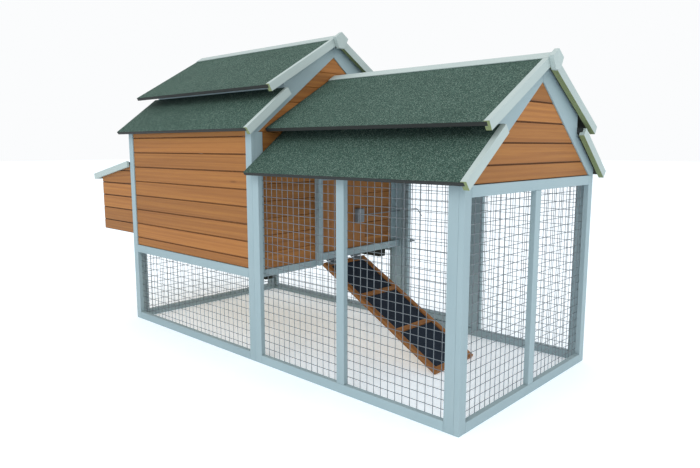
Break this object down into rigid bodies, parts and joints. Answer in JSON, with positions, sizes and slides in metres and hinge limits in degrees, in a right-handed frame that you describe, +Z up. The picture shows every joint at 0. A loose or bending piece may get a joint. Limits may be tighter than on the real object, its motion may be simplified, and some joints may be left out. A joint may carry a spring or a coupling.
{
  "type": "rabbit hutch",
  "caption": "Raised timber rabbit hutch with a nest box, a felted two-step gable roof, and a wire run joined by a sliding pop door and a ramp.",
  "frame": {"origin": "bottom centre of the whole hutch's bounding box, on the ground", "axes": "+X along the hutch from the nest box to the run's gable end, +Y from the front long side to the rear long side, +Z up"},
  "size_m": [1.925, 0.9246, 1.1014],
  "materials": {
    "blue_grey_paint": "matt pale blue-grey paint on softwood",
    "pale_paint": "matt pale grey-green paint on softwood",
    "stained_wood": "orange-brown stain on softwood boards",
    "dark_board": "dark bitumen-washed boards",
    "plain_wood": "untreated softwood and plywood",
    "roofing_felt": "mineral-faced bitumen felt, dark green-grey",
    "galvanised_steel": "zinc-plated steel",
    "ramp_mat": "dark ribbed matting",
    "grey_plastic": "plain grey moulding"
  },
  "bodies": {
    "hutch": {"house_front_frame": "blue_grey_paint", "house_front_boards": "stained_wood", "house_front_mesh": "galvanised_steel", "house_rear_frame": "blue_grey_paint", "house_rear_boards": "stained_wood", "house_rear_mesh": "galvanised_steel", "house_end_frame": "blue_grey_paint", "house_end_boards": "stained_wood", "house_end_mesh": "galvanised_steel", "divider_frame": "blue_grey_paint", "divider_boards": "stained_wood", "house_floor": "plain_wood", "floor_joists": "dark_board", "run_inner_rafters": "blue_grey_paint", "roof_fascias": "blue_grey_paint", "roof_boards": "dark_board", "roof_felt": "roofing_felt", "bargeboards": "pale_paint", "ridge_boards": "pale_paint", "apex_blocks": "pale_paint", "run_front_frame": "blue_grey_paint", "run_front_mesh": "galvanised_steel", "run_rear_frame": "blue_grey_paint", "run_rear_mesh": "galvanised_steel", "run_end_frame": "blue_grey_paint", "run_end_boards": "stained_wood", "run_end_mesh": "galvanised_steel", "nest_walls": "stained_wood", "nest_end_wall": "stained_wood", "nest_floor": "plain_wood", "nest_battens": "plain_wood", "nest_divider": "plain_wood", "hinge_plates": "galvanised_steel", "hinge_pins": "galvanised_steel", "bolt_keepers": "galvanised_steel", "pop_door_guides": "blue_grey_paint"},
    "nest_lid": {"nest_lid_board": "dark_board", "nest_lid_felt": "roofing_felt", "nest_lid_trim": "pale_paint", "nest_lid_hinges": "galvanised_steel"},
    "pop_door": {"pop_door_leaf": "stained_wood", "pop_door_block": "grey_plastic", "pull_rod": "galvanised_steel"},
    "ramp": {"ramp_frame": "stained_wood", "ramp_deck": "plain_wood", "ramp_mats": "ramp_mat", "ramp_hinges": "galvanised_steel"},
    "run_door": {"run_door_frame": "blue_grey_paint", "run_door_mesh": "galvanised_steel", "run_door_hinges": "galvanised_steel", "run_door_bolt_case": "galvanised_steel"},
    "run_bolt": {"run_door_bolt": "galvanised_steel"},
    "rear_door": {"rear_door_frame": "blue_grey_paint", "rear_door_boards": "stained_wood", "rear_door_hinges": "galvanised_steel", "rear_door_bolt_case": "galvanised_steel"},
    "rear_bolt": {"rear_door_bolt": "galvanised_steel"}
  },
  "joints": [
    {"name": "nest_lid_lift", "type": "hinge", "parent": "hutch", "child": "nest_lid", "pos_m": [-0.66254, -0.04947, 0.65134], "axis": [0, 1, 0], "range_deg": [0, 60]},
    {"name": "pop_door_slide", "type": "slide", "parent": "hutch", "child": "pop_door", "axis": [0, 1, 0], "range_m": [0, 0.2]},
    {"name": "ramp_swing", "type": "hinge", "parent": "hutch", "child": "ramp", "pos_m": [0.14666, -0.01447, 0.299], "axis": [0, -1, 0], "range_deg": [0, 60]},
    {"name": "run_door_swing", "type": "hinge", "parent": "hutch", "child": "run_door", "pos_m": [0.50296, 0.32903, 0.315], "axis": [0, 0, -1], "range_deg": [0, 110]},
    {"name": "run_bolt_slide", "type": "slide", "parent": "run_door", "child": "run_bolt", "axis": [-1, 0, 0], "range_m": [0, 0.014]},
    {"name": "rear_door_swing", "type": "hinge", "parent": "hutch", "child": "rear_door", "pos_m": [-0.27604, 0.32903, 0.525], "axis": [0, 0, 1], "range_deg": [0, 110]},
    {"name": "rear_bolt_slide", "type": "slide", "parent": "rear_door", "child": "rear_bolt", "axis": [1, 0, 0], "range_m": [0, 0.014]}
  ]
}
